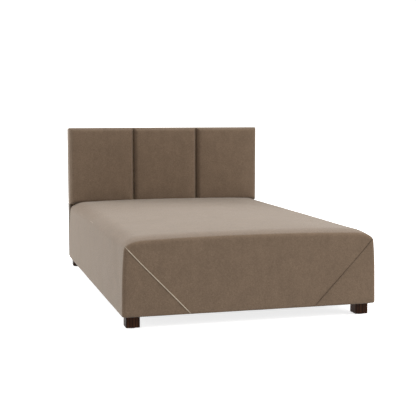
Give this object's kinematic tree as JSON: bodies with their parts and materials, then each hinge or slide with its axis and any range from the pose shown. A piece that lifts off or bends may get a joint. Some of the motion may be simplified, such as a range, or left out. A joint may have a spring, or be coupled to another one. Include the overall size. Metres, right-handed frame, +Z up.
{
  "type": "dog bed with frame",
  "caption": "Upholstered pet bed: crowned padded box base on short square wooden feet, with a panelled padded headboard at the rear.",
  "frame": {"origin": "on the floor under the centre of the bed's bounding box", "axes": "+Z up; +Y from the open foot end to the headboard; +X to the right seen from the foot end"},
  "size_m": [0.8, 1.25, 0.571],
  "materials": {
    "velvet": "matte",
    "lower_cloth": "matte",
    "dark_cloth": "matte",
    "foam": "matte",
    "pine": "matte",
    "plywood": "matte",
    "wenge": "satin",
    "zinc": "satin",
    "glide_plastic": "matte"
  },
  "bodies": {
    "root": {"corner_post_front_left": "pine", "corner_post_front_right": "pine", "corner_post_rear_left": "pine", "corner_post_rear_right": "pine", "base_rail_front": "pine", "base_rail_rear": "pine", "base_rail_left": "pine", "base_rail_right": "pine", "centre_rail": "pine", "deck_panel": "plywood", "top_foam": "foam", "padding_front": "foam", "padding_left": "foam", "padding_right": "foam", "base_cover": "velvet", "dust_cover": "dark_cloth", "foot_front_left": "wenge", "glide_front_left": "glide_plastic", "hanger_bolt_front_left": "zinc", "foot_front_right": "wenge", "glide_front_right": "glide_plastic", "hanger_bolt_front_right": "zinc", "foot_rear_left": "wenge", "glide_rear_left": "glide_plastic", "hanger_bolt_rear_left": "zinc", "foot_rear_right": "wenge", "glide_rear_right": "glide_plastic", "hanger_bolt_rear_right": "zinc", "headboard_stile_left": "pine", "headboard_stile_right": "pine", "headboard_rail_top": "pine", "headboard_rail_middle": "pine", "headboard_rail_lower": "pine", "headboard_front_panel": "plywood", "headboard_edge_padding": "foam", "headboard_edge_cover": "velvet", "headboard_lower_cover": "lower_cloth", "headboard_back_lining": "dark_cloth", "pad_cover_left": "velvet", "pad_foam_left": "foam", "pad_board_left": "plywood", "pad_cover_centre": "velvet", "pad_foam_centre": "foam", "pad_board_centre": "plywood", "pad_cover_right": "velvet", "pad_foam_right": "foam", "pad_board_right": "plywood", "headboard_washer_outer_left": "zinc", "headboard_bolt_outer_left": "zinc", "headboard_washer_inner_left": "zinc", "headboard_bolt_inner_left": "zinc", "headboard_washer_inner_right": "zinc", "headboard_bolt_inner_right": "zinc", "headboard_washer_outer_right": "zinc", "headboard_bolt_outer_right": "zinc"}
  },
  "joints": []
}
